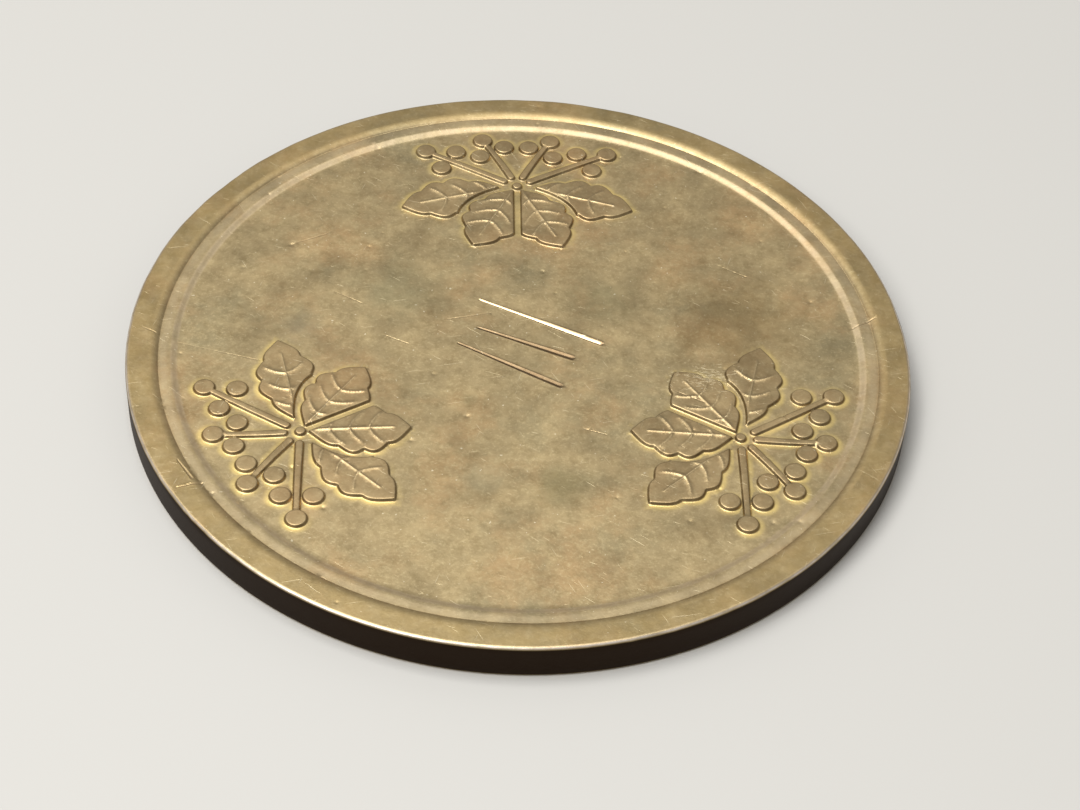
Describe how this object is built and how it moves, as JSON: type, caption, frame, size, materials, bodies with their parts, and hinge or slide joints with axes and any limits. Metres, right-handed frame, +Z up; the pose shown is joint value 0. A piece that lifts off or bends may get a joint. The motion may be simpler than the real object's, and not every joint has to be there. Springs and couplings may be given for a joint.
{
  "type": "medal",
  "caption": "Round struck bronze medal with a raised border, a stepped ledge, leaf-and-berry sprays in low relief and scribed tally strokes.",
  "frame": {"origin": "centre of the lower face's border plane, on the medal's axis", "axes": "+Z up along the medal's axis, from the plain face to the face with the sprays; +Y through the middle of one spray"},
  "size_m": [0.03, 0.03, 0.0015],
  "materials": {
    "patinated_bronze": "worn satin patina"
  },
  "bodies": {
    "root": {"medal": "patinated_bronze"}
  },
  "joints": []
}
